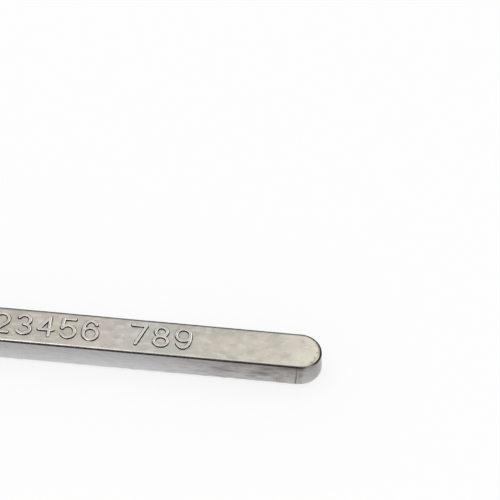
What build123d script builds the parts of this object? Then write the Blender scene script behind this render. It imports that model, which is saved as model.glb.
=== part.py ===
"""Cast solder bar: one stick of solder, as it drops out of its open mould.

The bar lies on the side that was the open top of the mould, the pour side. The side that faces up was the
bottom of the mould, so every wall leans in towards it. Seen from above the bar is a stadium, with two straight
walls and two half-round ends, and the same two end centres serve the pour side, the face and the sunken middle.

The origin is the middle of the pour side. +X runs along the bar and +Z points up to the face.
"""
from build123d import *
import math
import os

# Driving dimensions, in millimetres and degrees
bar_length = 330.0        # overall, along the foot of the walls
face_width = 20.0         # across the flat face, from wall to wall
bar_height = 13.0         # from the pour side to the face
draft_angle = 4.0         # lean of every wall, which lets the bar drop out of its mould
face_edge_radius = 1.3    # rounded rim of the face, from the corner of the mould
pour_edge_radius = 2.5    # rounded rim of the pour side, where the liquid metal drew in
rim_width = 2.5           # flat rim of the pour side, which the bar rests on
sunk_depth = 0.6          # how far the middle of the pour side sank as the metal froze

# Sizes that follow from them
pour_width = face_width + 2 * bar_height * math.tan(math.radians(draft_angle))
end_centre_distance = bar_length - pour_width
pour_round_reach = pour_edge_radius / math.tan(math.radians(90 - draft_angle) / 2)  # in from the foot
sunk_half_width = pour_width / 2 - pour_round_reach - rim_width


def drafted_body():
    """The stick with sharp rims: a stadium outline whose walls lean in from the pour side up to the face."""
    outline = SlotOverall(bar_length, pour_width)
    return extrude(outline, amount=bar_height, taper=draft_angle)


def with_round_rims(body):
    """The same stick with its two rims rounded all the way round, each by its own radius."""
    face_rim = body.edges().group_by(Axis.Z)[-1]
    body = fillet(face_rim, face_edge_radius)
    pour_rim = body.edges().group_by(Axis.Z)[0]
    return fillet(pour_rim, pour_edge_radius)


def sunken_middle():
    """A long capsule whose crown stands above the pour side by the depth that the middle sank.

    Its radius is that of the arc through both inner edges of the flat rim and the deepest line between them,
    so the hollow it leaves is a shallow trough with a bowl at each end, all of one curvature.
    """
    arc_radius = (sunk_half_width ** 2 + sunk_depth ** 2) / (2 * sunk_depth)
    half_distance = end_centre_distance / 2
    ring = CenterArc((half_distance, 0), arc_radius, 0, 90)
    crown = Line((half_distance, arc_radius), (-half_distance, arc_radius))
    other_ring = CenterArc((-half_distance, 0), arc_radius, 90, 90)
    centre_line = Line((-half_distance - arc_radius, 0), (half_distance + arc_radius, 0))
    half_section = make_face([ring, crown, other_ring, centre_line])
    capsule = revolve(half_section, axis=Axis.X, revolution_arc=360)
    return Pos(0, 0, sunk_depth - arc_radius) * capsule


def solder_bar():
    """The finished stick."""
    return with_round_rims(drafted_body()) - sunken_middle()


os.makedirs("parts", exist_ok=True)
bar = solder_bar()
export_step(bar, "parts/solder_bar.step")
print(f"solder_bar: {bar.volume / 1000:.2f} cm3, box {bar.bounding_box().size}, solids {len(bar.solids())}")
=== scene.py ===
# %% [markdown]
# A stick of solder, cast in an open mould
#
# The object is one piece of metal: a stadium outline seen from above, walls that lean in a little towards
# the face, two rolled rims, and a shallow hollow on the side it lies on. Its looks come from three things.
# The face is satin and warm, because it froze against the floor of the mould. The walls are smoother and
# more neutral. And a rounded rim turns the reflection of the room through a wide angle, so it draws a
# bright line, with a painted dark reflection below it, drawn as a line of dark oxide. This script makes
# those shapes as real geometry and gives them one finish, which knows the part of the stick that it is on.

# %% [markdown]
# The frame. The imported solid has the stick's true size and place, so it is loaded first, and everything
# else is measured from it. Its box is kept here.

import math

import bmesh
import bpy
import numpy as np
from mathutils import Matrix, Vector


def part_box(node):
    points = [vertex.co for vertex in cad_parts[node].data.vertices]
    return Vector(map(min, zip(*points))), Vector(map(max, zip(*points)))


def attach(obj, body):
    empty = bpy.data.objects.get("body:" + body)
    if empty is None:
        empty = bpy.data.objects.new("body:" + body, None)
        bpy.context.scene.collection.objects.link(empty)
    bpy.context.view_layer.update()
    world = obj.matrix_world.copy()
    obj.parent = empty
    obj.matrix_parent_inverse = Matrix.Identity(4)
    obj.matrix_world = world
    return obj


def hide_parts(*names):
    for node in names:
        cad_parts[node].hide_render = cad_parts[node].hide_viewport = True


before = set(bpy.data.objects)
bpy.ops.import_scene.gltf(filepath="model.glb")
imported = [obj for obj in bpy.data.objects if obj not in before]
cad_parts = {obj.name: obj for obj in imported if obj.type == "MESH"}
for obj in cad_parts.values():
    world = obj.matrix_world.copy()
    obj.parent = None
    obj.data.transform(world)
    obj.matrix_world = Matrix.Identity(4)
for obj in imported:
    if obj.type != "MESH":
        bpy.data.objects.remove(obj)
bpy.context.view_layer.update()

# %% [markdown]
# Sizes. The overall box comes from the frame, so the dressed stick is the same stick. The draft, the rims,
# the flat and the hollow are stated again here, because a box can't tell them. The end centres are the two
# points that the round ends turn about, and most places along the stick are measured from them.

# %% Sizes of the stick, in millimetres and radians
MM = 0.001
upper_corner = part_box("solder_bar")[1]
HALF_LENGTH = upper_corner.x / MM
HALF_WIDTH = upper_corner.y / MM
HEIGHT = upper_corner.z / MM
DRAFT = math.radians(4.0)
FACE_RIM_RADIUS = 1.3
POUR_RIM_RADIUS = 2.5
RIM_FLAT = 2.5
SUNK_DEPTH = 0.6
END_CENTRE = HALF_LENGTH - HALF_WIDTH
# The centre of a rounding lies this many radii in from the sharp corner, a little over 1, as the wall leans.
REACH_IN = math.tan(DRAFT) + 1 / math.cos(DRAFT)
POUR_CENTRE = HALF_WIDTH - POUR_RIM_RADIUS
FOOT = POUR_CENTRE + POUR_RIM_RADIUS * REACH_IN
FACE_CENTRE = FOOT - (HEIGHT - FACE_RIM_RADIUS) * math.tan(DRAFT) - FACE_RIM_RADIUS / math.cos(DRAFT)
SUNK_HALF = POUR_CENTRE - RIM_FLAT
print(f"end centres at {END_CENTRE:.2f} mm, foot of the wall {FOOT:.3f} mm from the middle line")

# %% [markdown]
# The half profile. Cut the stick across and keep one half: the curve starts under the middle line in the
# hollow, runs out over the flat rim, round the pour rim, up the wall, round the face rim and back in over
# the face. It could be a bevelled box, but then the draft and the two roundings would be guesses of a
# modifier. Worked out as a curve, each radius is exact. Two numbers say where a point is, its reach from
# the middle line and its height. Two more say which way the surface looks there, which later lets the cast
# skin push it straight out.


# %% Rows on an arc and on a straight line
def arc_rows(centre, radius, start, end, count):
    """Rows on an arc: centre plus radius times (cos, sin), with the angle going evenly from start to end."""
    turn = np.linspace(start, end, count)
    look = np.stack([np.cos(turn), np.sin(turn)], axis=1)
    return np.hstack([np.array(centre) + radius * look, look])


def straight_rows(first, last, look, count, crowd=1.0):
    """Rows on a straight line, all looking one way: first times (1 minus share) plus last times share.

    The share goes from 0 to 1 in even steps, to the power of crowd. Above 1 that packs the rows near first.
    """
    share = np.linspace(0.0, 1.0, count)[:, None] ** crowd
    place = (1 - share) * np.array(first) + share * np.array(last)
    return np.hstack([place, np.tile(look, (count, 1))])


print("last row of a quarter arc:", arc_rows((0, 0), FACE_RIM_RADIUS, 0, math.pi / 2, 5)[-1].round(2))

# %% The half profile, from the middle of the pour side to the middle of the face
ROWS = {"hollow": 11, "flat": 4, "pour rim": 10, "wall": 20, "face rim": 13, "face": 23}
FACE_CROWD = 1.4


def half_profile():
    """Rows of reach, height and look, part after part, each without the row that it shares with the last.

    The hollow is an arc through the inner edge of the flat and the deepest point, so its radius is (half
    width squared plus depth squared) over twice the depth. The air is inside that circle, so its look is
    turned round.
    """
    quarter = math.pi / 2
    sunk_radius = (SUNK_HALF**2 + SUNK_DEPTH**2) / (2 * SUNK_DEPTH)
    sunk_turn = math.asin(SUNK_HALF / sunk_radius)
    sunk_centre = (0, SUNK_DEPTH - sunk_radius)
    hollow = arc_rows(sunk_centre, sunk_radius, quarter, quarter - sunk_turn, ROWS["hollow"])
    hollow[:, 2:] *= -1
    flat = straight_rows((SUNK_HALF, 0), (POUR_CENTRE, 0), (0, -1), ROWS["flat"])
    pour_rim = arc_rows((POUR_CENTRE, POUR_RIM_RADIUS), POUR_RIM_RADIUS, -quarter, DRAFT, ROWS["pour rim"])
    face_rim_centre = (FACE_CENTRE, HEIGHT - FACE_RIM_RADIUS)
    face_rim = arc_rows(face_rim_centre, FACE_RIM_RADIUS, DRAFT, quarter, ROWS["face rim"])
    out_of_wall = (math.cos(DRAFT), math.sin(DRAFT))
    wall = straight_rows(pour_rim[-1, :2], face_rim[0, :2], out_of_wall, ROWS["wall"])
    face = straight_rows((FACE_CENTRE, HEIGHT), (0, HEIGHT), (0, 1), ROWS["face"], crowd=FACE_CROWD)
    return np.vstack([hollow, flat[1:], pour_rim[1:], wall[1:-1], face_rim, face[1:]])


profile = half_profile()
print("profile rows:", len(profile), "widest reach", round(profile[:, 0].max(), 3))

# %% [markdown]
# Carrying a half profile round a line. The stick and every raised stroke on it are the same kind of
# surface. Take a centre line, walk along its one side, turn round its end, walk back along the other side
# and turn again. At each step there is a point on the centre line and a heading away from it, and the
# profile says how far to go and how high. The round ends come out of this by themselves, closed, and no
# edge needs a bevel afterwards.


# %% Walk round a centre line
def walk_round(path, cap_steps):
    """Centres and unit headings of one walk round an open path of points.

    Out along the path with the left normals, a half turn of headings at the far end, back along the path with
    the right normals, and a half turn at the near end.
    """
    step = np.gradient(path, axis=0)
    ahead = step / np.linalg.norm(step, axis=1, keepdims=True)
    left = np.stack([-ahead[:, 1], ahead[:, 0]], axis=1)
    turn = np.linspace(0, math.pi, cap_steps + 1)[1:-1]

    def cap(point, side, forward):
        """One point all along, with the headings cos times side plus sin times forward."""
        headings = np.cos(turn)[:, None] * side + np.sin(turn)[:, None] * forward
        return np.tile(point, (len(turn), 1)), headings

    far, far_headings = cap(path[-1], left[-1], ahead[-1])
    near, near_headings = cap(path[0], -left[0], -ahead[0])
    centres = np.vstack([path, far, path[::-1], near])
    headings = np.vstack([left, far_headings, -left[::-1], near_headings])
    return centres, headings


def carried_surface(centres, headings, rows):
    """Points and quads of a closed surface: point (i, j) = centre i + reach j times heading i, height j."""
    flat = centres[:, None, :] + rows[None, :, 0, None] * headings[:, None, :]
    height = np.broadcast_to(rows[None, :, 1, None], flat.shape[:2] + (1,))
    points = np.concatenate([flat, height], axis=2)
    around, along = points.shape[:2]
    i = np.arange(around)[:, None]
    j = np.arange(along - 1)[None, :]
    here, there = i * along + j, (i + 1) % around * along + j
    quads = np.stack([here, here + 1, there + 1, there], axis=2).reshape(-1, 4)
    return points.reshape(-1, 3), quads


print("a walk round two points takes", len(walk_round(np.eye(2), 4)[0]), "steps with caps of 4")

# %% [markdown]
# The walk round the stick. Its columns are even, apart from some close ones at the four places where a
# straight wall meets a round end. There the mould has left a fine upright line, and a fine line needs fine
# geometry.

# %% The walk round the stick
EVEN_COLUMNS = 470
MARK_COLUMNS = 11
END_STEPS = 104
MOULD_MARK = END_CENTRE - 0.65
even_columns = np.linspace(-END_CENTRE, END_CENTRE, EVEN_COLUMNS)
mark_columns = MOULD_MARK + np.linspace(-0.9, 0.38, MARK_COLUMNS)
columns = np.unique(np.concatenate([even_columns, mark_columns, -mark_columns]))
middle_line = np.stack([columns, np.zeros_like(columns)], axis=1)
bar_centres, bar_headings = walk_round(middle_line, END_STEPS)
bar_points, bar_quads = carried_surface(bar_centres, bar_headings, profile)
sideways = profile[None, :, 2, None] * bar_headings[:, None, :]
upwards = np.broadcast_to(profile[None, :, 3, None], sideways.shape[:2] + (1,))
bar_looks = np.concatenate([sideways, upwards], axis=2).reshape(-1, 3)
print("points", len(bar_points), "triangles", 2 * len(bar_quads))

# %% [markdown]
# The cast skin. Metal that froze in a mould is never quite flat. It carries long slow waves, as here, and
# on top of them come dents, pits and marks. A bump in the material could draw them, but the outline of the
# stick and the reflections in its rims would stay ruler-straight. So the skin is a height in millimetres,
# worked out from where a point is, and the surface is pushed out by that height along the way it looks.


# %% Ripples, humps and steps
def ripples(points, wavelength, seed, waves=14):
    """A smooth random field, mostly between -1.5 and 1.5.

    Sine waves of about one wavelength, each with a heading and a start of its own, are added up, and the
    sum is divided by the square root of their number.
    """
    draw = np.random.default_rng(seed)
    heading = draw.normal(size=(waves, 3))
    heading /= np.linalg.norm(heading, axis=1, keepdims=True)
    length = wavelength * draw.uniform(0.7, 1.4, waves)
    phase = draw.uniform(0, 2 * math.pi, waves)
    angle = points @ (heading * (2 * math.pi / length)[:, None]).T + phase
    return np.sin(angle).sum(axis=1) / math.sqrt(waves)


def hump(distance):
    """A smooth hump, 1 at distance 0 and near 0 beyond 2: e to the power of minus the distance squared."""
    return np.exp(-(distance**2))


def smooth_step(value, start, end):
    """0 up to start, 1 from end on, and an even S between them: share squared times (3 minus 2 shares)."""
    share = np.clip((value - start) / (end - start), 0, 1)
    return share * share * (3 - 2 * share)


print("a step, a quarter of the way up:", smooth_step(0.25, 0, 1), "and a hump at 2:", round(hump(2), 3))

# %% Waves of the skin
# Each wave is a height, a wavelength and the seed of its own random headings.
SKIN_WAVES = [(0.030, 38, 1), (0.012, 12, 2), (0.003, 4.5, 3)]


def waves_of_skin(points):
    """Height of the skin's unevenness in millimetres: a long, a middle and a short ripple added up."""
    return sum(height * ripples(points, wavelength, seed) for height, wavelength, seed in SKIN_WAVES)


print(f"waves of the skin within {np.abs(waves_of_skin(bar_points)).max():.3f} mm")

# %% [markdown]
# Dents, pits and stains. These are accidents, so they are listed one by one, each as a soft spot with a
# middle, a half size along each axis and a strength. Dents and pits pull the skin in: a dent is wide and
# clean, and a pit is small and full of dark oxide. A stain has no depth. It is a brown film, which the
# finish draws. The lists are made for one end, and the other end gets the same spots after half a turn, but
# weaker.

# %% Dents and pits
# Each spot is a middle (x and y from the end centre, and height), a half size (x, y, z) and a strength,
# which is the depth in millimetres of a dent, and a share of the full depth of a pit.
DENTS = [
    ((0.2, -4.6, HEIGHT), (0.9, 0.6, 1.0), 0.06),
    ((-19.5, 0.7, HEIGHT), (0.8, 0.6, 1.0), 0.05),
    ((-3.0, -10.1, 11.4), (3.0, 1.0, 0.7), 0.10),
    ((-15.5, -10.3, 8.6), (4.0, 1.0, 1.2), 0.05),
    ((-30.0, -10.3, 7.0), (6.0, 1.0, 1.0), 0.04),
]
PITS = [
    ((7.8, -0.5, HEIGHT), (0.50, 0.28, 1.0), 0.8),
    ((7.1, -3.8, HEIGHT), (0.36, 0.45, 1.0), 1.0),
    ((6.6, -5.1, HEIGHT), (0.34, 0.40, 1.0), 0.7),
    ((5.6, -6.4, HEIGHT), (0.60, 0.30, 1.0), 0.8),
    ((6.9, 3.2, HEIGHT), (0.32, 0.32, 1.0), 0.4),
    ((1.4, 5.2, HEIGHT), (0.35, 0.35, 1.0), 0.25),
    ((-0.6, -10.5, 2.4), (0.7, 1.0, 0.5), 0.12),
    ((1.9, -10.4, 2.3), (0.5, 1.0, 0.4), 0.6),
    ((-6.2, -10.5, 2.2), (0.8, 1.0, 0.35), 0.5),
]
print(len(DENTS), "dents and", len(PITS), "pits at an end")

# %% Stains on the near wall, round the end and on the far wall
STAINS = [
    ((-5.0, -10.2, 11.2), (5.5, 1.5, 1.3), 0.9),
    ((-18.0, -10.2, 11.9), (14.0, 1.5, 1.1), 0.4),
    ((0.6, -10.2, 11.3), (2.6, 1.5, 1.2), 1.05),
    ((1.3, -10.3, 7.6), (0.9, 1.5, 3.0), 0.50),
    ((-16.0, -10.4, 6.9), (3.2, 1.5, 1.2), 0.80),
    ((-20.5, -10.4, 6.1), (2.2, 1.5, 0.8), 0.50),
    ((-14.5, -10.3, 10.0), (3.4, 1.5, 0.9), 0.75),
    ((-16.0, -10.3, 9.0), (4.5, 1.5, 0.6), 0.35),
    ((-27.0, -10.4, 6.6), (7.0, 1.5, 0.6), 0.30),
    ((-35.5, -10.4, 7.0), (5.0, 1.5, 1.9), 0.55),
    ((-29.5, -10.3, 10.8), (6.0, 1.5, 1.0), 0.35),
    ((-46.5, -10.3, 10.4), (5.0, 1.5, 1.2), 0.25),
    ((-10.5, -10.4, 8.0), (4.5, 1.5, 2.6), 0.22),
    ((-2.8, -10.4, 8.8), (2.4, 1.5, 2.4), 0.35),
    ((8.5, -6.5, 5.0), (3.5, 3.0, 5.0), 0.26),
    ((10.4, -2.0, 6.0), (2.0, 3.2, 6.0), 0.50),
    ((-27.0, 10.3, 8.0), (7.0, 1.5, 1.6), 0.60),
    ((-9.0, 10.3, 10.6), (6.0, 1.5, 1.3), 0.70),
]
print(len(STAINS), "stains at an end")


# %% Gather the spots
def gathered(points, spots, turned_share):
    """Sum of strength times hump over the spots, as listed at one end, and at a share of that at the other.

    The distance in the hump is counted in half sizes of the spot. The other end is the first one after half
    a turn about the upright axis.
    """
    total = np.zeros(len(points))
    for middle, half_size, strength in spots:
        for turn, share in ((1, 1.0), (-1, turned_share)):
            from_end = points * (turn, turn, 1) - (END_CENTRE, 0, 0)
            total += share * strength * hump(np.linalg.norm((from_end - middle) / half_size, axis=1))
    return total


OTHER_END_SKIN = 0.6
OTHER_END_STAINS = 0.8
dents = gathered(bar_points, DENTS, OTHER_END_SKIN)
print(f"deepest dent {dents.max():.3f} mm")

# %% [markdown]
# The mould marks. The straight walls and the round ends of the mould seem to have been cut one after the
# other, as the wall has a fine upright groove where they meet. It wanders a little and its width changes,
# and two of the four are clearer than the others.

# %% The mould marks
MARK_HALF_WIDTH = 0.28
MARK_WANDER = 0.12
MARK_STRENGTH = 0.54


def mould_marks(points):
    """How strongly a point lies on an upright line where a straight wall meets a round end, from 0 to 1.

    A hump across the line, times a step for each thing that bounds it: being on the wall, above the pour rim
    and below the face rim. Low down the line is a little wider and stronger.
    """
    along, across, height = points.T
    lower = 1 - smooth_step(height, 3.5, 8.0)
    wander = MARK_WANDER * ripples(points, 4.5, 8)
    half_width = MARK_HALF_WIDTH + 0.07 * lower + 0.07 * ripples(points, 1.6, 10)
    from_line = (np.abs(along) - MOULD_MARK + wander) / half_width
    on_wall = smooth_step(np.abs(across), 9.0, 9.8)
    upright = smooth_step(height, 1.0, 2.2) * (1 - smooth_step(height, 11.0, 12.6))
    clear_or_faint = np.where(along * across < 0, 1.0, 0.5)
    strength = MARK_STRENGTH + 0.08 * lower
    return clear_or_faint * on_wall * upright * strength * hump(from_line)


marks = mould_marks(bar_points)
print("points on the marks:", int((marks > 0.1).sum()))

# %% [markdown]
# Where on the stick a point is. The skin and the finish both need to know the face from the walls and the
# pour side, and the rims from the flats. One number tells most of it: the upward part of the way the
# surface looks, which is 1 on the face, near 0 on a wall and -1 under the stick. The other is the reach
# from the middle line.

# %% Where on the stick a point is
look_up = bar_looks[:, 2]
on_middle_line = np.clip(bar_points[:, :2], (-END_CENTRE, 0), (END_CENTRE, 0))
reach = np.linalg.norm(bar_points[:, :2] - on_middle_line, axis=1)
in_hollow = smooth_step(SUNK_HALF - reach, 0, 1.2) * (look_up < -0.5)
on_face_rim = smooth_step(look_up, 0.10, 0.35) * (1 - smooth_step(look_up, 0.93, 1.0))
on_pour_rim = (1 - smooth_step(look_up, -0.35, 0.05)) * smooth_step(look_up, -1.0, -0.8)
pits = gathered(bar_points, PITS, OTHER_END_SKIN) * (look_up > -0.3)
shares = {"hollow": in_hollow, "face rim": on_face_rim, "pour rim": on_pour_rim, "pits": pits}
print({part: f"{(share > 0.5).mean():.1%} of the points" for part, share in shares.items()})

# %% [markdown]
# The skin, put together. The rims get a swell of their own, stronger on the pour side, where the metal
# froze in the open. There it also drew together into wrinkles. The size of a ripple without its sign comes
# to a sharp 0 along lines, and a skin that is pulled in by that size keeps a fold along each of them.
# Nothing may go below the plane that the stick lies on.

# %% Push the surface out by its skin
PIT_DEPTH = 0.13
MARK_DEPTH = 0.14
FACE_RIM_SWELL = 0.012
POUR_RIM_SWELL = 0.070
WRINKLE_HEIGHT = 0.16
wrinkles = np.abs(ripples(bar_points, 9.0, 6)) + 0.5 * np.abs(ripples(bar_points, 4.0, 7))
skin = waves_of_skin(bar_points) - dents - PIT_DEPTH * pits - MARK_DEPTH * marks
skin += on_face_rim * FACE_RIM_SWELL * ripples(bar_points, 7.0, 4)
skin += on_pour_rim * POUR_RIM_SWELL * ripples(bar_points, 5.0, 5)
skin -= in_hollow * WRINKLE_HEIGHT * wrinkles
skinned = bar_points + skin[:, None] * bar_looks
skinned[:, 2] = np.maximum(skinned[:, 2], 0.0)
print(f"skin from {skin.min():.3f} to {skin.max():.3f} mm")

# %% [markdown]
# From numbers to a mesh. The arrays go into Blender in one call, in metres. Along the middle lines the way
# out and the way back have points in the same places, so equal points are merged, and that closes the mesh.
# The faces are turned outwards, which is checked by the sign of the volume. What the finish needs to know
# about each point goes along as attributes, so that a pattern stays on the surface from any side.


# %% Put points and faces into a mesh
def new_piece(name, points, quads, values):
    """A closed, smooth mesh object in metres, equal points merged, with an attribute for each named value."""
    mesh = bpy.data.meshes.new(name)
    mesh.from_pydata((points * MM).tolist(), [], quads.tolist())
    for label, column in values.items():
        mesh.attributes.new(label, "FLOAT", "POINT").data.foreach_set("value", column.astype(np.float32))
    shape = bmesh.new()
    shape.from_mesh(mesh)
    bmesh.ops.remove_doubles(shape, verts=shape.verts, dist=1e-7)
    bmesh.ops.recalc_face_normals(shape, faces=shape.faces)
    if shape.calc_volume(signed=True) < 0:
        bmesh.ops.reverse_faces(shape, faces=shape.faces)
    open_edges = sum(1 for edge in shape.edges if not edge.is_manifold)
    shape.to_mesh(mesh)
    shape.free()
    mesh.shade_smooth()
    piece = bpy.data.objects.new(name, mesh)
    bpy.context.scene.collection.objects.link(piece)
    triangles = sum(len(face.vertices) - 2 for face in mesh.polygons)
    print(f"{name}: {triangles} triangles, {open_edges} open edges")
    return piece


# %% [markdown]
# Painted dark reflection on the rim of the face. It is a thin black-brown line in the oxide tone, painted
# in place of the dark that the rim would mirror. On the near side it keeps to the lower part of the rim, so
# that the upper part stays bright. Round the tips it climbs, and on the far side it covers nearly the whole
# rim and ends in a fine line on the face. A third of the way round to each tip the painted line nearly
# stops, and a soft brown painted shade is left there.

# %% Painted dark reflection on the rim of the face
# The top of the line is an upward part of the look. The gap in the painted line and the shade are in degrees
# round the end, from 0 where the round starts to 90 at the tip.
LINE_TOP = 0.68
LINE_CLIMB_ROUND_TIP = 0.26
LINE_CLIMB_FAR = 0.03
LINE_GAP_AT, LINE_GAP_SPREAD, LINE_GAP_SHARE = 31, 16, 0.76
SHADE_AT, SHADE_SPREAD, SHADE_SHARE = 38, 15, 0.34
FAR_LINE_HALF_WIDTH = 0.28
heading = np.repeat(bar_headings, len(profile), axis=0)
end = np.sign(bar_points[:, 0])
degrees_round_end = np.degrees(np.arctan2(end * heading[:, 0], -end * heading[:, 1]))
off_near_side = smooth_step(heading[:, 1], -0.85, 0.0)
line_top = LINE_TOP + LINE_CLIMB_ROUND_TIP * off_near_side
line_top += LINE_CLIMB_FAR * smooth_step(heading[:, 1], 0.0, 0.8)
line_fade = 0.999 - line_top - 0.14 * (1 - off_near_side)
# Painted dark reflection: the line on the rim, its gap, the fine line along the far rim and a soft painted
# shade.
line_gap = LINE_GAP_SHARE * hump((degrees_round_end - LINE_GAP_AT) / LINE_GAP_SPREAD)
below_top = 1 - smooth_step((look_up - line_top) / line_fade, 0, 1)
rim_line = smooth_step(look_up, 0.05, 0.22) * below_top * (1 - line_gap)
on_far_side = smooth_step(heading[:, 1], -0.85, 0.1)
far_line = 0.7 * on_far_side * (look_up > 0.95) * hump((reach - FACE_CENTRE) / FAR_LINE_HALF_WIDTH)
beside_face = hump((reach - FACE_CENTRE - 0.5) / 0.75) * (look_up > 0)
soft_shade = SHADE_SHARE * hump((degrees_round_end - SHADE_AT) / SHADE_SPREAD) * beside_face
print(f"oxide line on {(rim_line > 0.5).mean():.1%} of the points, worn on {(line_gap > 0.5).mean():.1%}")

# %% [markdown]
# What the finish needs to know. Seven numbers on every point say which tone and gloss belong there. The
# level parts show the grain of the metal and the rest its flow. The oxide share adds up from the painted dark
# reflection of the rim lines and the oxide of the marks and the pits, and the painted shade in the creases of
# the pour side lies along the folds of its wrinkles.

# %% The stick
bar_values = {
    "face_share": smooth_step(look_up, 0.80, 0.985),
    "pour_share": 1 - smooth_step(look_up, -0.85, -0.45),
    # Rubbed band on the rim: wear, with a painted highlight in its lighter tone.
    "wear_and_highlight": 0.25 * smooth_step(look_up, 0.72, 0.84) * (1 - smooth_step(look_up, 0.985, 1.0)),
    "level": smooth_step(look_up, 0.97, 0.998),
    # Painted dark reflection on the rim lines, and oxide in the mould marks and the pits.
    "oxide_and_dark_reflection": np.clip(rim_line + far_line + soft_shade + marks + 0.9 * pits, 0, 1),
    "stain": np.clip(gathered(bar_points, STAINS, OTHER_END_STAINS), 0, 1.3),
    # Painted shade over the hollow, darkest along the folds of its wrinkles.
    "crease_shade": in_hollow * (0.22 + 0.78 * (1 - np.clip(wrinkles / 0.9, 0, 1))),
}
bar = new_piece("cast_bar", skinned, bar_quads, bar_values)

# %% [markdown]
# The raised numerals. A stick like this has a row of raised marks on its face, cut into the mould with a
# round cutter. Here they are plain counting numerals, and they mean nothing. A text object would give
# letters of even thickness with sharp sides. A cutter gives strokes, so each numeral is drawn as a few
# centre lines, made of straight runs and arcs, and the stroke is a half profile carried round each line, as
# the stick itself was.


# %% Centre lines
POINT_SPACING = 0.25


def line(*points):
    """A polyline through the given points: first plus share times (last minus first) on each run."""
    pieces = []
    for first, last in zip(points[:-1], points[1:]):
        first, last = np.array(first, float), np.array(last, float)
        count = max(2, int(np.linalg.norm(last - first) / POINT_SPACING))
        pieces.append(first + np.linspace(0, 1, count)[:, None] * (last - first))
    return np.vstack(pieces)


def arc(centre, reach, start, end):
    """Part of an ellipse: centre plus (half width times cos, half height times sin), the angle in degrees."""
    count = max(6, int(abs(math.radians(end - start)) * max(reach) / POINT_SPACING))
    turn = np.radians(np.linspace(start, end, count))
    return np.array(centre) + np.stack([reach[0] * np.cos(turn), reach[1] * np.sin(turn)], axis=1)


def joined(*runs):
    """Runs that follow one another as one path, with doubled points taken out."""
    path = np.vstack(runs)
    apart = np.linalg.norm(np.diff(path, axis=0), axis=1) > 1e-6
    return path[np.concatenate([[True], apart])]


print("points on a run of 5 mm:", len(line((0, 0), (5, 0))))

# %% The nine numerals, in millimetres from their own middle
SIX_TOP = arc((0, 0), (3.2, 5.1), 38, 180)
SIX_BOWL = arc((0, -1.9), (3.2, 3.2), 180, 540)
SIX = joined(SIX_TOP, line((-3.2, 0), (-3.2, -1.9)), SIX_BOWL)
TWO_NECK = joined(arc((0, 2), (3.1, 3.1), 168, -45), line((2.19, -0.19), (-3.1, -5.1)))
FIVE_BOWL = arc((-0.1, -1.8), (3.1, 3.3), 150, -150)
NUMERALS = {
    "1": [line((0.7, -5.1), (0.7, 5.1)), line((0.7, 5.1), (-1.8, 2.9))],
    "2": [TWO_NECK, line((-3.1, -5.1), (3.1, -5.1))],
    "3": [arc((0, 2.6), (2.7, 2.5), 155, -90), arc((0, -2.5), (3.1, 2.6), 90, -155)],
    "4": [line((1.5, -5.1), (1.5, 5.1)), line((1.5, 5.1), (-3.2, -1.8)), line((-3.2, -1.8), (3.2, -1.8))],
    "5": [line((2.7, 5.1), (-2.3, 5.1)), line((-2.3, 5.1), (-2.86, -0.1)), FIVE_BOWL],
    "6": [SIX],
    "7": [line((-3.1, 5.1), (3.1, 5.1)), line((3.1, 5.1), (-1.1, -5.1))],
    "8": [arc((0, 2.6), (2.6, 2.5), 90, 450), arc((0, -2.5), (3.1, 2.6), 90, 450)],
    "9": [-SIX],
}
print("strokes:", {mark: len(strokes) for mark, strokes in NUMERALS.items()})

# %% [markdown]
# The row. The numerals stand in three groups along the middle line, a third of a millimetre beside it. They
# are placed from the last one back, which stands a little over 50 mm before the end centre.

# %% The places of the numerals
GROUPS = ("123456789", "123456", "789")
PITCH = 10.2
GROUP_SPACE = 11.95
LAST_NUMERAL = END_CENTRE - 53.4
ROW_SHIFT = 0.35
TALLER = np.array([1.0, 1.06])


def numeral_places():
    """Every numeral with the place of its middle along the stick, counted back from the last one."""
    place, places = LAST_NUMERAL, []
    for mark in reversed(" ".join(GROUPS)):
        if mark == " ":
            place -= GROUP_SPACE
            continue
        places.append((mark, place))
        place -= PITCH
    return places


print(f"numerals stand from {numeral_places()[-1][1]:.1f} to {LAST_NUMERAL:.1f} mm")

# %% [markdown]
# The stroke. Its half profile has a nearly flat crest, a round shoulder, a steep flank and a soft foot that
# runs out level with the face. The last rows go down into the stick, so that the skin's waves never open a
# gap below it. The flank and the foot get oxide and painted dark reflection, and the shoulder a rubbed tone
# with a painted highlight.

# %% The half profile of a stroke
RELIEF = 0.60
STROKE_CAP_STEPS = 14
stroke_reach = np.array([0, 0.20, 0.34, 0.48, 0.60, 0.68, 0.73, 0.78, 0.84, 0.94, 1.08, 1.22, 1.32, 1.32, 0])
crest_and_shoulder = RELIEF - np.array([0, 0.005, 0.02, 0.06, 0.13])
flank_and_foot = [0.38, 0.26, 0.14, 0.06, 0.02, 0.008, 0.004]
below_face = [-0.06, -0.30, -0.30]
stroke_height = np.concatenate([crest_and_shoulder, flank_and_foot, below_face])
stroke_profile = np.stack([stroke_reach, stroke_height], axis=1)
stroke_oxide_and_reflection = smooth_step(stroke_reach, 0.52, 0.66) * (1 - smooth_step(stroke_reach, 0.98, 1.24))
# Rubbed shoulder of the stroke: wear, with a painted highlight.
stroke_wear_and_highlight = hump((stroke_reach - 0.49) / 0.14)
stroke_level = 1 - smooth_step(stroke_reach, 0.30, 0.50)
print("stroke", 2 * stroke_reach.max(), "mm wide at its foot,", RELIEF, "mm high")

# %% [markdown]
# All strokes in one mesh. Where two strokes of a numeral cross, each later one sinks by a few thousandths
# of a millimetre, so that no two crests lie in the same plane. The whole row then rides on the same waves
# as the face, with a short ripple of its own. Both ripples are taken at the height of the face.

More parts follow.
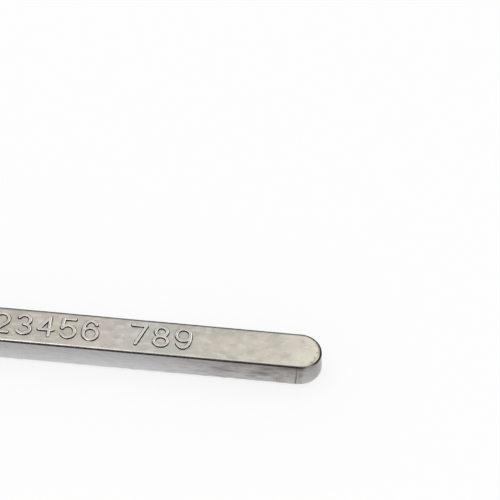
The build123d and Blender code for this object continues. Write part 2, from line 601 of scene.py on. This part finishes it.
# %% Carry the stroke round every centre line
SINK_PER_STROKE = 0.004
STROKE_RIPPLE = 0.012
stroke_points, stroke_quads, stroke_headings, points_so_far = [], [], [], 0
for mark, place in numeral_places():
    for order, path in enumerate(NUMERALS[mark]):
        centres, headings = walk_round(path * TALLER + np.array([place, ROW_SHIFT]), STROKE_CAP_STEPS)
        points, quads = carried_surface(centres, headings, stroke_profile)
        points[:, 2] -= SINK_PER_STROKE * order
        stroke_points.append(points)
        stroke_quads.append(quads + points_so_far)
        stroke_headings.append(headings)
        points_so_far += len(points)
number_points = np.vstack(stroke_points)
face_places = np.column_stack([number_points[:, :2], np.full(len(number_points), HEIGHT)])
number_points[:, 2] += HEIGHT + waves_of_skin(face_places) + STROKE_RIPPLE * ripples(face_places, 2.2, 9)
walk_steps = len(number_points) // len(stroke_profile)
print(len(stroke_points), "strokes,", walk_steps, "steps round them")

# %% [markdown]
# The dark about the numerals, oxide at the foot and painted dark reflection on the flanks, is thickest on
# the near side of each stroke and uneven along it.

# %% The numerals
near_side = np.repeat(np.clip(-np.vstack(stroke_headings)[:, 1], 0, 1), len(stroke_profile))
# Painted dark reflection, strongest on the near side of each stroke.
stroke_dark_amount = 0.75 + 0.40 * ripples(face_places, 4.0, 11) + 0.55 * near_side
nowhere = np.zeros(len(number_points))
number_values = {
    "face_share": nowhere + 1,
    "pour_share": nowhere,
    "wear_and_highlight": np.tile(stroke_wear_and_highlight, walk_steps),
    "level": np.tile(stroke_level, walk_steps),
    "oxide_and_dark_reflection": np.clip(np.tile(stroke_oxide_and_reflection, walk_steps) * stroke_dark_amount, 0, 1),
    "stain": nowhere,
    "crease_shade": nowhere,
}
numbers = new_piece("raised_numerals", number_points, np.vstack(stroke_quads), number_values)

# %% [markdown]
# The finish. Cast solder is bare metal, so its whole colour is the colour of its reflection, and what makes
# it look cast is that this colour and the gloss change a little everywhere: rosy and greenish clouds on the
# face, lengthwise flow streaks and brown stains on the walls, a frosted pour side with painted shade in its
# creases, and a dark oxide tone along the rim and about the numerals, which on the rim is painted dark
# reflection and about the numerals partly so. It all stands on four kinds of node: noise on Object
# coordinates, stretched where the metal flowed, the attributes of the mesh, mixes between named tones, and a
# bump whose distance is a real height.


# %% Small helpers for nodes
def node(tree, kind, inputs=None, **settings):
    """A new shader node. Settings are its own properties, and inputs its sockets, as values or as outputs."""
    made = tree.nodes.new("ShaderNode" + kind)
    for name, value in settings.items():
        setattr(made, name, value)
    for name, value in (inputs or {}).items():
        if isinstance(value, bpy.types.NodeSocket):
            tree.links.new(value, made.inputs[name])
        else:
            made.inputs[name].default_value = value
    return made


def blend_tones(tree, share, first, second):
    """A colour: first times (1 minus share) plus second times share."""
    return node(tree, "Mix", {0: share, 6: first, 7: second}, data_type="RGBA").outputs[2]


def blend_numbers(tree, share, first, second):
    """A number: first times (1 minus share) plus second times share."""
    return node(tree, "Mix", {0: share, 2: first, 3: second}).outputs[0]


def remap(tree, value, start, end, to_start=0.0, to_end=1.0):
    """Goes from to_start to to_end, by an even S, while the value goes from start to end."""
    ranges = {0: value, 1: start, 2: end, 3: to_start, 4: to_end}
    return node(tree, "MapRange", ranges, interpolation_type="SMOOTHSTEP").outputs[0]


def multiply(tree, first, second):
    """The product of two numbers."""
    return node(tree, "Math", {0: first, 1: second}, operation="MULTIPLY").outputs[0]


def object_place(tree):
    """Where a point is on the object, in metres."""
    return node(tree, "TexCoord").outputs["Object"]


def share_of(tree, label):
    """The number that the mesh keeps under this name."""
    return node(tree, "Attribute", attribute_name=label).outputs["Fac"]


def cloud(tree, wavelength, stretch=(1, 1, 1), detail=3.0, shift=0.0):
    """Noise from 0 to 1 whose clouds are about one wavelength across, in millimetres, times the stretch.

    The noise is taken at the place divided by (wavelength times stretch), plus the shift.
    """
    shrink = tuple(1 / (wavelength * MM * share) for share in stretch)
    shifted = {"Vector": object_place(tree), "Location": (shift, shift, shift), "Scale": shrink}
    placed = node(tree, "Mapping", shifted)
    return node(tree, "TexNoise", {"Vector": placed.outputs[0], "Scale": 1.0, "Detail": detail}).outputs[0]


metal = bpy.data.materials.new("cast_solder")
metal.use_nodes = True
metal_tree = metal.node_tree
metal_shader = metal_tree.nodes["Principled BSDF"]
print("nodes before the finish:", len(metal_tree.nodes))

# %% [markdown]
# The tones. Each is the share of red, green and blue light that the metal reflects there. A tone of metal
# multiplies all that it mirrors, so a small step shows, and the tones of the face lie close together. The
# walls go from pale to brown, pale low down as a painted reflection of the floor, and their stains are darker
# still. The rubbed tone is wear with a painted highlight, and the oxide tone, which also paints dark
# reflection, is nearly black.

# %% The tones of the metal, as linear colour
FACE_MIDDLE = (0.517, 0.464, 0.415, 1)
FACE_END = (0.605, 0.573, 0.495, 1)
FACE_TIP = (0.69, 0.65, 0.545, 1)
FACE_SILVERY = (0.50, 0.495, 0.465, 1)
FACE_ROSY = (0.60, 0.54, 0.485, 1)
FACE_GREENISH = (0.47, 0.47, 0.38, 1)
FACE_DULL = (0.40, 0.38, 0.34, 1)
FACE_PALE = (0.70, 0.67, 0.59, 1)
# Pale low down: painted reflection of the white floor.
WALL_LOW_PAINTED_REFLECTION = (0.64, 0.635, 0.64, 1)
WALL_HIGH = (0.45, 0.44, 0.44, 1)
WALL_GREY = (0.25, 0.24, 0.235, 1)
WALL_AGED = (0.265, 0.229, 0.193, 1)
WALL_STAINED = (0.17, 0.148, 0.134, 1)
WALL_MAUVE = (0.31, 0.255, 0.262, 1)
# Lighter tone of rubbed metal: wear with a painted highlight on the rims and shoulders.
WEAR_AND_HIGHLIGHT = (0.91, 0.895, 0.87, 1)
POUR_FROSTED = (0.52, 0.515, 0.495, 1)
POUR_DULL = (0.43, 0.425, 0.41, 1)
POUR_CREASE_SHADE = (0.22, 0.215, 0.205, 1)
# The oxide tone, also used for the painted dark reflection on the rims and about the numerals.
OXIDE_AND_DARK_REFLECTION = (0.026, 0.021, 0.019, 1)
print("lightest and darkest green:", WEAR_AND_HIGHLIGHT[1], OXIDE_AND_DARK_REFLECTION[1])


# %% Steps along, across and up the stick, between places in millimetres
def step_along(tree, start, end, to_start=0.0, to_end=1.0):
    """A step over how far along the stick a point is from its middle, the same towards both ends."""
    along = node(tree, "SeparateXYZ", {0: object_place(tree)}).outputs[0]
    distance = node(tree, "Math", {0: along}, operation="ABSOLUTE").outputs[0]
    return remap(tree, distance, start * MM, end * MM, to_start, to_end)


def step_across(tree, start, end, to_start=0.0, to_end=1.0):
    """A step over how far across the stick a point is from the middle line, negative on the near side."""
    across = node(tree, "SeparateXYZ", {0: object_place(tree)}).outputs[1]
    return remap(tree, across, start * MM, end * MM, to_start, to_end)


def step_up(tree, start, end, to_start=0.0, to_end=1.0):
    """A step over how high a point is above the plane that the stick lies on."""
    height = node(tree, "SeparateXYZ", {0: object_place(tree)}).outputs[2]
    return remap(tree, height, start * MM, end * MM, to_start, to_end)


print(f"end centre {END_CENTRE:.2f} mm along the stick, tip {HALF_LENGTH:.2f} mm")

# %% [markdown]
# The face. Its tone is laid on in two coats. The first is broad: duller in the middle, paler towards the
# ends and creamy on the tips, with a silvery stretch between, a paler near side in the middle and a duller
# far side before the ends. The second is small: clouds of four tones, each from its own noise, from 9 mm
# across down to 2.6 mm.


# %% The face
def face_broad_tone(tree):
    """The first coat: each blend's share is a step along or across the stick, and one is a broad noise."""
    tone = blend_tones(tree, step_along(tree, 35, 160), FACE_MIDDLE, FACE_END)
    silvery = multiply(tree, step_along(tree, 55, 78), step_along(tree, 90, 118, 0.75, 0))
    tone = blend_tones(tree, silvery, tone, FACE_SILVERY)
    near_side = multiply(tree, step_across(tree, 1, -9, 0, 0.32), step_along(tree, 52, 66, 1, 0))
    tone = blend_tones(tree, near_side, tone, FACE_PALE)
    far_side = multiply(tree, step_across(tree, -5, 7, 0, 0.55), step_along(tree, 82, 98))
    far_side = multiply(tree, far_side, step_along(tree, 118, 150, 1, 0))
    tone = blend_tones(tree, far_side, tone, FACE_DULL)
    broad = remap(tree, cloud(tree, 26, stretch=(1.8, 1, 1), shift=8.2), 0.42, 0.62, 0, 0.50)
    tone = blend_tones(tree, broad, tone, FACE_DULL)
    on_tip = step_along(tree, END_CENTRE - 8.0, END_CENTRE + 3.0)
    return blend_tones(tree, on_tip, tone, FACE_TIP)


def face_tone(tree):
    """The first coat under four kinds of cloud, rosy, greenish, dull and pale, each a stepped noise."""
    rosy = remap(tree, cloud(tree, 8, shift=3.1), 0.46, 0.66, 0, 0.70)
    tone = blend_tones(tree, rosy, face_broad_tone(tree), FACE_ROSY)
    greenish = remap(tree, cloud(tree, 9, stretch=(1.6, 1, 1), shift=7.7), 0.50, 0.68, 0, 0.65)
    greenish = multiply(tree, greenish, step_along(tree, 60, 110, 0.45, 1))
    tone = blend_tones(tree, greenish, tone, FACE_GREENISH)
    dull = remap(tree, cloud(tree, 3.2, stretch=(1.5, 1, 1), detail=5.0, shift=4.4), 0.50, 0.70, 0, 0.42)
    tone = blend_tones(tree, dull, tone, FACE_DULL)
    pale = remap(tree, cloud(tree, 2.6, stretch=(2.0, 1, 1), detail=5.0, shift=1.3), 0.50, 0.68, 0, 0.50)
    return blend_tones(tree, pale, tone, FACE_PALE)


tone_of_face = face_tone(metal_tree)
print("nodes with the face:", len(metal_tree.nodes))

# %% [markdown]
# The walls. The metal ran lengthwise when it was poured, so the marks on the walls run lengthwise too: the
# noise is stretched six times along the stick and across it, which carries the streaks on round its ends.
# Towards the ends the metal is browner, with fine flow streaks, a few upright ones near the mould marks,
# the listed stains and, close under the rim, a mauve bloom.

# %% The walls
LENGTHWISE = (6, 6, 1)
FINE_LENGTHWISE = (16, 16, 1)
UPRIGHT = (1, 1, 7)


def wall_base_tone(tree):
    """The wall's tone by place alone: pale low down, greyer above, then grey and brown towards the ends."""
    # Paler low down, as a painted reflection of the floor.
    tone = blend_tones(tree, step_up(tree, 1.0, 12.5), WALL_LOW_PAINTED_REFLECTION, WALL_HIGH)
    tone = blend_tones(tree, step_along(tree, 70, 115, 0.03, 0.18), tone, WALL_GREY)
    return blend_tones(tree, step_along(tree, 102, 122, 0.0, 0.16), tone, WALL_AGED)


def wall_tone(tree):
    """The base tone under flow streaks, upright streaks, stains and bloom, each a noise times a place."""
    less_on_tip = step_along(tree, END_CENTRE + 0.5, END_CENTRE + 3.5, 1.0, 0.25)
    streaks = remap(tree, cloud(tree, 0.95, stretch=LENGTHWISE, detail=4.0), 0.44, 0.68, 0.05, 1.0)
    towards_end = multiply(tree, step_along(tree, 85, 125, 0.16, 0.62), less_on_tip)
    tone = blend_tones(tree, multiply(tree, towards_end, streaks), wall_base_tone(tree), WALL_AGED)
    upright = remap(tree, cloud(tree, 0.7, stretch=UPRIGHT, shift=2.5), 0.52, 0.68, 0, 0.30)
    upright = multiply(tree, upright, step_along(tree, 132, 146))
    upright = multiply(tree, upright, less_on_tip)
    tone = blend_tones(tree, upright, tone, WALL_AGED)
    patchy = cloud(tree, 1.3, stretch=(5, 5, 1), detail=5.0, shift=6.0)
    stained = multiply(tree, share_of(tree, "stain"), remap(tree, patchy, 0.36, 0.60, 0.65, 1.0))
    tone = blend_tones(tree, stained, tone, WALL_STAINED)
    bloom = remap(tree, cloud(tree, 3.0, stretch=(2.4, 2.4, 1), shift=5.0), 0.50, 0.66, 0, 0.75)
    bloom = multiply(tree, bloom, step_up(tree, 8.5, 12.0))
    bloom = multiply(tree, bloom, step_along(tree, 85, 120))
    return blend_tones(tree, bloom, tone, WALL_MAUVE)


tone_of_wall = wall_tone(metal_tree)
print("nodes with the walls:", len(metal_tree.nodes))

# %% [markdown]
# The pour side froze in open air, and its surface is frosted, in dull and less dull patches, with painted
# grey shade in its creases. The oxide tone is one dark brown that covers every other tone, and on the rims it
# is painted dark reflection. It is laid on last, a little uneven, so that a line of it isn't drawn with a
# ruler.


# %% The pour side and the oxide
def pour_tone(tree):
    """Frosted metal with duller patches, from one stepped noise, and painted grey shade in the creases."""
    dull = remap(tree, cloud(tree, 5, detail=5.0, shift=9.0), 0.40, 0.65)
    tone = blend_tones(tree, dull, POUR_FROSTED, POUR_DULL)
    return blend_tones(tree, multiply(tree, share_of(tree, "crease_shade"), 0.8), tone, POUR_CREASE_SHADE)


def oxide_and_reflection_share(tree):
    """Oxide and painted dark reflection from the mesh, times a noise that lowers it by up to an eighth."""
    uneven = remap(tree, cloud(tree, 2.5, detail=4.0, shift=2.0), 0.30, 0.62, 0.88, 1.0)
    return multiply(tree, share_of(tree, "oxide_and_dark_reflection"), uneven)


tone_of_pour_side = pour_tone(metal_tree)
oxide_and_dark_reflection = oxide_and_reflection_share(metal_tree)
print("nodes with the pour side and the oxide:", len(metal_tree.nodes))

# %% [markdown]
# Colour, gloss and relief of the whole stick. One material serves both pieces, because they are one
# casting. The attributes decide how much of each tone, of each roughness and of each relief a point gets.
# From the smoothest to the roughest come the rubbed rims, the walls, the satin face, the frosted pour side
# and the oxide with the painted dark reflection. The grain and the flow lines are only 0.006 mm high, and
# the frost 0.05 mm.

# %% Roughness and heights
WALL_ROUGHNESS = (0.17, 0.27)
FACE_ROUGHNESS = (0.24, 0.34)
RUBBED_ROUGHNESS = 0.14
OXIDE_ROUGHNESS = 0.60
POUR_ROUGHNESS = 0.48
GRAIN_HEIGHT = 0.006 * MM
FROST_HEIGHT = 0.05 * MM
FROST_PER_METRE = 650.0


def metal_roughness(tree, on_face, on_pour_side, on_wear_and_highlight, oxide_and_dark_reflection):
    """Wall and face between their two values by a noise, then blended towards rim, oxide and pour side."""
    rough_wall = remap(tree, cloud(tree, 3, stretch=LENGTHWISE), 0.3, 0.7, *WALL_ROUGHNESS)
    rough_face = remap(tree, cloud(tree, 4, detail=5.0), 0.3, 0.7, *FACE_ROUGHNESS)
    rough = blend_numbers(tree, on_face, rough_wall, rough_face)
    rough = blend_numbers(tree, on_wear_and_highlight, rough, RUBBED_ROUGHNESS)
    rough = blend_numbers(tree, oxide_and_dark_reflection, rough, OXIDE_ROUGHNESS)
    return blend_numbers(tree, on_pour_side, rough, POUR_ROUGHNESS)


def metal_normal(tree, on_pour_side):
    """Grain where the surface is level, flow lines elsewhere, and the frost of the pour side over both."""
    grain = cloud(tree, 0.8, detail=4.0)
    flow = cloud(tree, 0.7, stretch=FINE_LENGTHWISE)
    relief = blend_numbers(tree, share_of(tree, "level"), flow, grain)
    fine = node(tree, "Bump", {"Height": relief, "Distance": GRAIN_HEIGHT, "Strength": 1.0}).outputs[0]
    frost = node(tree, "TexVoronoi", {"Scale": FROST_PER_METRE, "Vector": object_place(tree)}).outputs[0]
    frosted = {"Height": frost, "Distance": FROST_HEIGHT, "Strength": on_pour_side, "Normal": fine}
    return node(tree, "Bump", frosted).outputs[0]


print(f"roughest face {FACE_ROUGHNESS[1]:.2f}, grain {GRAIN_HEIGHT / MM:.3f} mm high")

# %% The finish of the whole stick
on_face = share_of(metal_tree, "face_share")
on_pour_side = share_of(metal_tree, "pour_share")
on_wear_and_highlight = share_of(metal_tree, "wear_and_highlight")
tone = blend_tones(metal_tree, on_face, tone_of_wall, tone_of_face)
# The rubbed share: wear, with a painted highlight.
tone = blend_tones(metal_tree, on_wear_and_highlight, tone, WEAR_AND_HIGHLIGHT)
tone = blend_tones(metal_tree, on_pour_side, tone, tone_of_pour_side)
tone = blend_tones(metal_tree, oxide_and_dark_reflection, tone, OXIDE_AND_DARK_REFLECTION)
rough = metal_roughness(metal_tree, on_face, on_pour_side, on_wear_and_highlight, oxide_and_dark_reflection)
metal_tree.links.new(tone, metal_shader.inputs["Base Color"])
metal_tree.links.new(rough, metal_shader.inputs["Roughness"])
metal_tree.links.new(metal_normal(metal_tree, on_pour_side), metal_shader.inputs["Normal"])
metal_shader.inputs["Metallic"].default_value = 1.0
print("material nodes:", len(metal_tree.nodes))

# %% [markdown]
# Both pieces ride on the stick's one body and carry its one material. The cast bar stands for the
# plain solid, which is no longer shown.

# %% Join the pieces to the frame
for piece in (bar, numbers):
    piece.data.materials.append(metal)
    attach(piece, "root")
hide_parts("solder_bar")
print("pieces:", bar.name, numbers.name)

# %% [markdown]
# The studio. Bare metal shows the room, so the room is part of the looks. A plain white sky lights
# everything evenly, and the floor is white paper. The camera and every reflection see the paper as a lit
# table, part of its white its own and part the light that falls on it, so it still keeps the stick's
# shadow.


# %% Floor and sky
def flat_sheet(name, corners):
    """One four-sided sheet through the given corners, in metres."""
    mesh = bpy.data.meshes.new(name)
    mesh.from_pydata(corners, [], [(0, 1, 2, 3)])
    sheet = bpy.data.objects.new(name, mesh)
    bpy.context.scene.collection.objects.link(sheet)
    return sheet


def matt_paint(name, grey):
    """Plain matt paint of one grey."""
    paint = bpy.data.materials.new(name)
    paint.use_nodes = True
    shader = paint.node_tree.nodes["Principled BSDF"]
    shader.inputs["Base Color"].default_value = (grey, grey, grey, 1)
    shader.inputs["Roughness"].default_value = 1.0
    shader.inputs["Specular IOR Level"].default_value = 0.0
    return paint


def lit_paper(name, grey, own_white):
    """Matt paper, with a share of its own white for camera, glossy and transmission rays alone."""
    paper = matt_paint(name, grey)
    tree = paper.node_tree
    rays = node(tree, "LightPath").outputs
    seen = node(tree, "Math", {0: rays["Is Camera Ray"], 1: rays["Is Glossy Ray"]}, operation="MAXIMUM")
    seen = node(tree, "Math", {0: seen.outputs[0], 1: rays["Is Transmission Ray"]}, operation="MAXIMUM")
    share = multiply(tree, seen.outputs[0], own_white)
    white = node(tree, "Emission", {"Color": (1, 1, 1, 1), "Strength": 1.0})
    matt = tree.nodes["Principled BSDF"].outputs[0]
    both = node(tree, "MixShader", {0: share, 1: matt, 2: white.outputs[0]})
    tree.links.new(both.outputs[0], tree.nodes["Material Output"].inputs[0])
    return paper


PAPER_HALF = 4.0
PAPER_DROP = 0.02 * MM
PAPER_GREY = 0.94
PAPER_OWN_WHITE = 0.75
corner_signs = ((-1, -1), (1, -1), (1, 1), (-1, 1))
paper_corners = [(x * PAPER_HALF, y * PAPER_HALF, -PAPER_DROP) for x, y in corner_signs]
paper_sheet = flat_sheet("paper", paper_corners)
paper_sheet.data.materials.append(lit_paper("white_paper", PAPER_GREY, PAPER_OWN_WHITE))

world = bpy.data.worlds.new("studio")
bpy.context.scene.world = world
world.use_nodes = True
sky = world.node_tree.nodes["Background"]
sky.inputs["Color"].default_value = (1, 1, 1, 1)
sky.inputs["Strength"].default_value = 1.0
print(f"paper {2 * PAPER_HALF:.0f} m wide, {PAPER_DROP / MM:.2f} mm under the stick")

# %% [markdown]
# Softboxes and cards, for the reflections alone. Under a white sky every rim would mirror white and vanish.
# One softbox hangs over the left half, and the near rim draws it as a bright line. Another stands high
# behind the right end, and shows on the right flanks of the numerals and on the rim of the tip. Two grey
# cards, one on the camera's side and one beyond the tip, give the metal something darker to mirror. Nothing
# matt sees any of the four, so the light and the shadow on the paper stay as they are.


# %% Softboxes
def reflections_only(thing):
    """The thing shows in reflections, and neither lights nor shades anything matt."""
    for kind in ("camera", "diffuse", "transmission", "shadow"):
        setattr(thing, "visible_" + kind, False)


def softbox(name, place, size, aim, power):
    """A rectangular lamp at place, of a size in metres and a power in watts, that looks at the aim."""
    lamp = bpy.data.lights.new(name, "AREA")
    lamp.shape = "RECTANGLE"
    lamp.size, lamp.size_y = size
    lamp.energy = power
    light = bpy.data.objects.new(name, lamp)
    light.location = place
    light.rotation_euler = (Vector(aim) - Vector(place)).to_track_quat("-Z", "Y").to_euler()
    bpy.context.scene.collection.objects.link(light)
    reflections_only(light)
    return light


softbox("overhead", place=(-0.54, -0.34, 1.0), size=(1.0, 0.45), aim=(-0.54, -0.34, 0.0), power=3.3)
softbox("behind", place=(0.64, 0.98, 0.96), size=(0.5, 0.4), aim=(0.1, 0.0, 0.0), power=0.80)
print("softboxes:", sorted(light.name for light in bpy.data.lights))

# %% Cards
CARD_CENTRE = Vector((0.09, 0, 0))


def card(name, bearing, half_span, distance, bottom, top, grey):
    """An upright grey sheet that faces the centre which the cards stand round.

    Bearings are degrees from -Y towards +X. The two sides are at the bearing minus and plus the half span,
    each at the centre plus distance times (sin, -cos), from the bottom height to the top one.
    """
    corners = []
    for turn, height in ((-half_span, bottom), (half_span, bottom), (half_span, top), (-half_span, top)):
        angle = math.radians(bearing + turn)
        outwards = Vector((math.sin(angle) * distance, -math.cos(angle) * distance, height))
        corners.append(CARD_CENTRE + outwards)
    sheet = flat_sheet(name, corners)
    sheet.data.materials.append(matt_paint(name + "_paint", grey))
    reflections_only(sheet)
    return sheet


near_card = card("camera_side_card", bearing=0, half_span=24, distance=0.9, bottom=0.65, top=1.75, grey=0.12)
tip_card = card("tip_side_card", bearing=106, half_span=34, distance=1.0, bottom=0.0, top=0.35, grey=0.20)
print("cards:", near_card.name, tip_card.name)

# %% [markdown]
# The camera. The photograph was taken from about 48 degrees above the floor, nearly square to the stick,
# with a slight tilt and a long lens, and the stick runs out of the picture on the left. A camera has no
# roll setting, so it is first aimed level and then turned about its own line of sight.

# %% Camera
AIM = Vector((126.77, 58.62, HEIGHT)) * MM
DISTANCE = 1108.2 * MM
AZIMUTH = math.radians(1.124)
ELEVATION = math.radians(47.844)
ROLL = math.radians(4.329)
FOCAL_LENGTH = 168.72
SENSOR_WIDTH = 36.0
lens = bpy.data.cameras.new("camera")
lens.lens = FOCAL_LENGTH
lens.sensor_width = SENSOR_WIDTH
lens.clip_start, lens.clip_end = 0.01, 50
camera = bpy.data.objects.new("camera", lens)
bpy.context.scene.collection.objects.link(camera)
bpy.context.scene.camera = camera
level_part = math.cos(ELEVATION)
back = Vector((math.sin(AZIMUTH) * level_part, -math.cos(AZIMUTH) * level_part, math.sin(ELEVATION)))
camera.location = AIM + DISTANCE * back
aimed_level = (-back).to_track_quat("-Z", "Y").to_matrix()
camera.rotation_euler = (aimed_level @ Matrix.Rotation(ROLL, 3, "Z")).to_euler()
bpy.context.scene.view_settings.view_transform = "Standard"
print("camera at", [round(value, 3) for value in camera.location])
